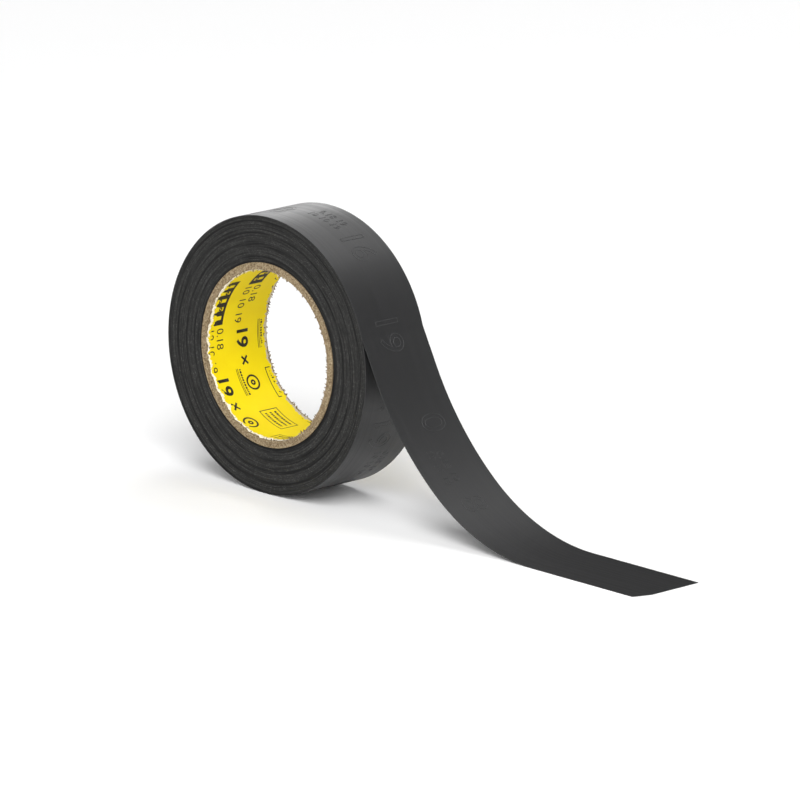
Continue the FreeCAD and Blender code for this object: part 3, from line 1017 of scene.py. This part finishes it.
lapStart = (peelAngle - math.radians(tape["lapOpening"])) * rollRadius
lapEnd = -math.radians(tape["seamAngle"]) * rollRadius
middleEnd = upperFlex + tape["middleJoin"] * (lowerFlex - upperFlex)
lap = makeStretch("outerLap", lapStart, lapEnd, ["outer_lap"])
peel = makeStretch("peelStrip", lapEnd, tape["peelJoin"], ["outer_lap", "tail_upper"])
middle = makeStretch("middleStrip", tape["peelJoin"], middleEnd, ["tail_upper", "tail_lower"])
end = makeStretch("endStrip", middleEnd, tapeEnd, ["tail_lower", "tail_end"], clipped=True)
for piece in lap:
    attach(piece, "outer_lap")
reach, (before, after) = tape["flexReach"], tape["groundReach"]    # spans round the folds; the last one reaches further out along the ground than back up the tail
folds = ((peel, ("outer_lap", "tail_upper"), 0, reach),
         (middle, ("tail_upper", "tail_lower"), upperFlex - reach, upperFlex + reach),
         (end, ("tail_lower", "tail_end"), lowerFlex - before, lowerFlex + after))
for pieces, bodies, start, finish in folds:
    for piece in pieces:
        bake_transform(piece)
print("tape: free length", round(tapeEnd / mm, 1), "mm")


# Plain pale floor and soft studio light: broad panels all round, each with its azimuth, elevation
# and radiance, and small ones with grids close behind the roll for the sheen along its top.
studio = {"floorSize": 30.0, "floor": "#fafafa", "world": 0.10, "panelSize": 1.5, "panelDistance": 2.5,
          "panels": {"frontRightLow": (315, 12, 2.8), "frontRightHigh": (315, 46, 7.8),
                     "leftLow": (180, 12, 2.6), "frontLow": (270, 12, 2.9), "rightLow": (0, 12, 1.2),
                     "backHigh": (90, 68, 2.9), "backLow": (90, 12, 2.6)},
          "middle": (0.02, 0, -0.02), "closeSize": 0.06, "closeSpread": math.radians(36),
          "closePanels": {"sheenLow": ((-0.10, 0.10, 0.068), 5.9),
                          "sheenHigh": ((-0.065, 0.11, 0.116), 3.1),
                          "sheenBack": ((-0.002, 0.10, 0.138), 1.8)}}


# a square panel that faces a point and shines with this radiance. A grid over it can narrow its
# beam, which Blender offsets with a brighter middle, so the energy is divided by that.
def addPanel(name, place, aim, size, radiance, spread=math.pi):
    light = bpy.data.lights.new(name, "AREA")
    light.shape, light.size = "SQUARE", size
    light.energy = math.pi * size * size * radiance
    if spread < math.pi:
        light.spread = spread
        light.energy *= 1 - spread / 2 / math.tan(spread / 2)
    panel = bpy.data.objects.new(name, light)
    bpy.context.collection.objects.link(panel)
    panel.location = place
    panel.rotation_euler = (Vector(aim) - Vector(place)).to_track_quat("-Z", "Y").to_euler()
    panel.visible_camera = False


def makeStudio():
    values = studio
    deselectAll()
    bpy.ops.mesh.primitive_plane_add(size=values["floorSize"], location=(0, 0, groundZ))
    floor = bpy.context.object
    floor.name = "studioFloor"
    material = startMaterial("paintedStudioFloor", Roughness=0.9, Base_Color=colour(values["floor"]),
                             Specular_IOR_Level=0.1)[0]
    floor.data.materials.append(material)
    world = bpy.data.worlds.new("studio")
    bpy.context.scene.world = world
    world.use_nodes = True
    sky = world.node_tree.nodes["Background"].inputs
    sky["Color"].default_value, sky["Strength"].default_value = (1, 1, 1, 1), values["world"]
    middle = Vector(values["middle"])
    for name, (azimuth, elevation, radiance) in values["panels"].items():
        turn, climb = math.radians(azimuth), math.radians(elevation)
        way = Vector((math.cos(turn) * math.cos(climb), math.sin(turn) * math.cos(climb),
                      math.sin(climb)))
        addPanel(name, middle + way * values["panelDistance"], middle, values["panelSize"], radiance)
    for name, (place, radiance) in values["closePanels"].items():
        addPanel(name, place, (0, 0, rollRadius), values["closeSize"], radiance, values["closeSpread"])
    bpy.context.scene.view_settings.view_transform = "Standard"


makeStudio()

view = {"lens": 419.1, "sensor": 36, "target": (0.0330, 0, -0.0054), "distance": 2.0647,
        "azimuth": math.radians(44.90), "elevation": math.radians(14.44), "roll": math.radians(1.07)}


def makeCamera():
    azimuth, elevation = view["azimuth"], view["elevation"]
    back = Vector((math.sin(azimuth) * math.cos(elevation), -math.cos(azimuth) * math.cos(elevation),
                   math.sin(elevation)))
    data = bpy.data.cameras.new("camera")
    data.lens, data.sensor_width = view["lens"], view["sensor"]
    data.clip_end = 50
    camera = bpy.data.objects.new("camera", data)
    bpy.context.collection.objects.link(camera)
    camera.location = Vector(view["target"]) + back * view["distance"]
    camera.rotation_mode = "QUATERNION"
    camera.rotation_quaternion = (-back).to_track_quat("-Z", "Y") @ Quaternion((0, 0, 1), view["roll"])
    bpy.context.scene.camera = camera


makeCamera()
print("stage, light and camera ready")

bpy.context.view_layer.update()
